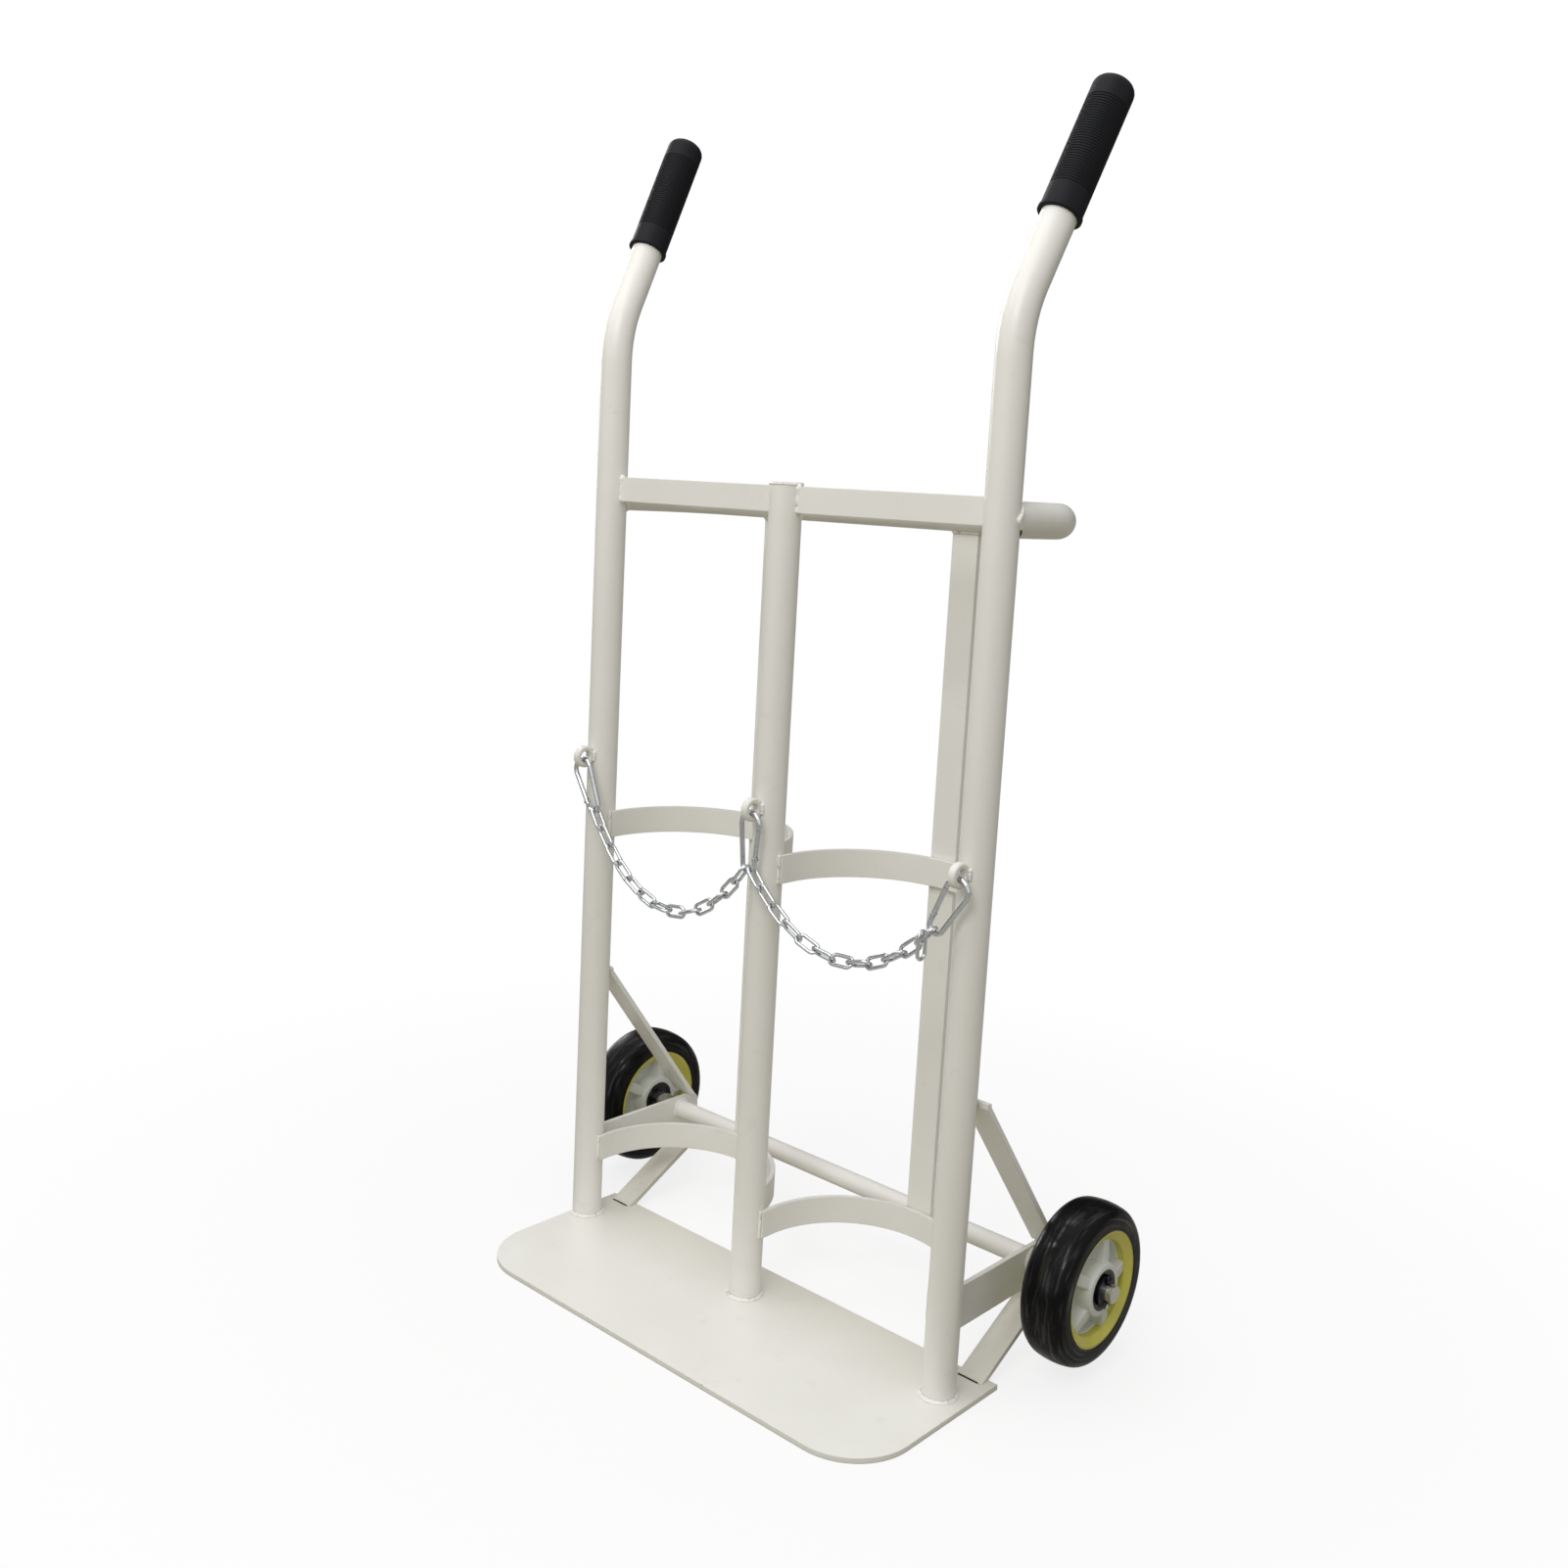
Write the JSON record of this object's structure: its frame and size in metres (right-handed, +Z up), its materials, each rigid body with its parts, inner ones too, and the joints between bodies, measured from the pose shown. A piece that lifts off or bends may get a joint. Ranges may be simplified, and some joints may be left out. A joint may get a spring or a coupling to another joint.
{
  "type": "gas cylinder trolley",
  "caption": "Upright twin gas cylinder trolley: tube frame on a toe plate, half-ring saddles, retaining chain on snap hooks, rubber wheels and swept-back handles.",
  "frame": {"origin": "on the floor, below the middle of the trolley's overall box", "axes": "+X to the trolley's right as seen from the front, +Y to the back, +Z up"},
  "size_m": [0.689, 0.368, 1.1857],
  "materials": {
    "cream_paint": "gloss",
    "axle_steel": "satin",
    "zinc": "bright",
    "grip_rubber": "satin",
    "tyre_rubber": "satin",
    "rim_yellow": "gloss",
    "hub_grey": "satin",
    "bearing_steel": "satin"
  },
  "bodies": {
    "frame": {"toe_plate": "cream_paint", "left_upright": "cream_paint", "right_upright": "cream_paint", "centre_post": "cream_paint", "centre_post_cap": "cream_paint", "foot_welds": "cream_paint", "left_top_rail": "cream_paint", "right_top_rail": "cream_paint", "rear_loop": "cream_paint", "left_upper_saddle": "cream_paint", "right_upper_saddle": "cream_paint", "left_lower_saddle": "cream_paint", "right_lower_saddle": "cream_paint", "left_back_strap": "cream_paint", "right_back_strap": "cream_paint", "left_axle_arm": "cream_paint", "right_axle_arm": "cream_paint", "left_upper_stay": "cream_paint", "right_upper_stay": "cream_paint", "left_lower_stay": "cream_paint", "right_lower_stay": "cream_paint", "axle_tube": "cream_paint", "axle_rod": "axle_steel", "left_spacer": "axle_steel", "right_spacer": "axle_steel", "left_grip": "grip_rubber", "right_grip": "grip_rubber", "left_chain_eye": "cream_paint", "centre_chain_eye": "cream_paint", "right_chain_eye": "cream_paint", "left_washer": "bearing_steel", "left_split_pin": "zinc", "right_washer": "bearing_steel", "right_split_pin": "zinc"},
    "left_wheel": {"left_tyre": "tyre_rubber", "left_rim": "rim_yellow", "left_hub": "hub_grey", "left_inner_bearing": "bearing_steel", "left_outer_bearing": "bearing_steel"},
    "right_wheel": {"right_tyre": "tyre_rubber", "right_rim": "rim_yellow", "right_hub": "hub_grey", "right_inner_bearing": "bearing_steel", "right_outer_bearing": "bearing_steel"},
    "hooks": {"left_hook": "zinc", "left_rivet": "zinc", "centre_hook": "zinc", "centre_rivet": "zinc", "right_hook": "zinc", "right_rivet": "zinc"},
    "left_gate": {"left_gate": "zinc"},
    "centre_gate": {"centre_gate": "zinc"},
    "right_gate": {"right_gate": "zinc"},
    "left_chain": {"left_chain": "zinc"},
    "right_chain": {"right_chain": "zinc"}
  },
  "joints": [
    {"name": "left_wheel_spin", "type": "hinge", "parent": "frame", "child": "left_wheel", "pos_m": [-0.308, 0.105, 0.09], "axis": [1, 0, 0], "continuous": true},
    {"name": "right_wheel_spin", "type": "hinge", "parent": "frame", "child": "right_wheel", "pos_m": [0.308, 0.105, 0.09], "axis": [1, 0, 0], "continuous": true},
    {"name": "hooks_swing", "type": "hinge", "parent": "frame", "child": "hooks", "pos_m": [0, -0.0615, 0.51325], "axis": [-0.9984, 0, 0.0564], "range_deg": [-2, 45]},
    {"name": "left_chain_swing", "type": "hinge", "parent": "hooks", "child": "left_chain", "pos_m": [-0.11568, -0.0615, 0.46475], "axis": [-0.997, 0, 0.078], "range_deg": [-15, 30]},
    {"name": "right_chain_swing", "type": "hinge", "parent": "hooks", "child": "right_chain", "pos_m": [0.11495, -0.0615, 0.45114], "axis": [-0.999, 0, 0.0449], "range_deg": [-15, 30]},
    {"name": "left_gate_open", "type": "hinge", "parent": "hooks", "child": "left_gate", "pos_m": [-0.23994, -0.0615, 0.48194], "axis": [0, 1, 0], "range_deg": [0, 25], "stiffness_Nm_per_rad": 0.02},
    {"name": "centre_gate_open", "type": "hinge", "parent": "hooks", "child": "centre_gate", "pos_m": [0.00816, -0.0615, 0.46796], "axis": [0, -1, 0], "range_deg": [0, 25], "stiffness_Nm_per_rad": 0.02},
    {"name": "right_gate_open", "type": "hinge", "parent": "hooks", "child": "right_gate", "pos_m": [0.22448, -0.0615, 0.46215], "axis": [0, 1, 0], "range_deg": [0, 25], "stiffness_Nm_per_rad": 0.02}
  ]
}
